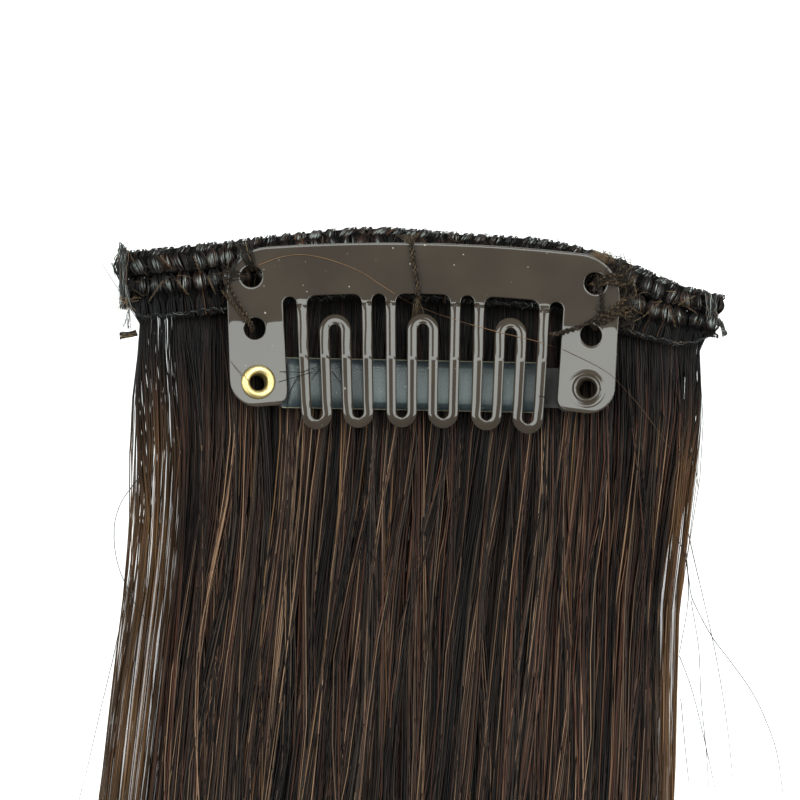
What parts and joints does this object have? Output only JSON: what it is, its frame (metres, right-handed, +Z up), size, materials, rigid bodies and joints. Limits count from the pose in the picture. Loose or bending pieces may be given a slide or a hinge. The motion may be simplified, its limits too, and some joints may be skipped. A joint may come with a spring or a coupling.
{
  "type": "clip-in hair extension",
  "caption": "Short double weft of straight dark hair with a snap comb clip sewn across it, lying flat with the clip side up.",
  "frame": {"origin": "middle of the whole piece's footprint, on the surface that it lies on", "axes": "+X along the weft, +Y from the tips of the hair to the weft, +Z up out of the face that the clip is on"},
  "size_m": [0.0526, 0.061, 0.0068],
  "materials": {
    "hair": "silky straight strands",
    "weft_hair": "sewn bundles",
    "lacquered_steel": "glossy lacquer",
    "silicone": "clear, slightly milky",
    "brass": "polished",
    "thread": "twisted sewing thread"
  },
  "bodies": {
    "weft": {"hair_locks": "hair", "weft_upper_row": "weft_hair", "weft_lower_row": "weft_hair", "clip_frame": "lacquered_steel", "grip_strip": "lacquered_steel", "grip_sleeve": "silicone", "brass_eyelet": "brass", "lacquered_eyelet": "lacquered_steel", "thread_left_upper": "thread", "thread_left_lower": "thread", "thread_right_upper": "thread", "thread_right_lower": "thread", "thread_middle": "thread"},
    "comb": {"comb_loop_left": "lacquered_steel", "comb_loop_middle": "lacquered_steel", "comb_loop_right": "lacquered_steel"}
  },
  "joints": [
    {"name": "comb_snap", "type": "hinge", "parent": "weft", "child": "comb", "pos_m": [0.00138, 0.02441, 0.00406], "axis": [-0.9998, 0.0201, 0], "range_deg": [0, 35]}
  ]
}
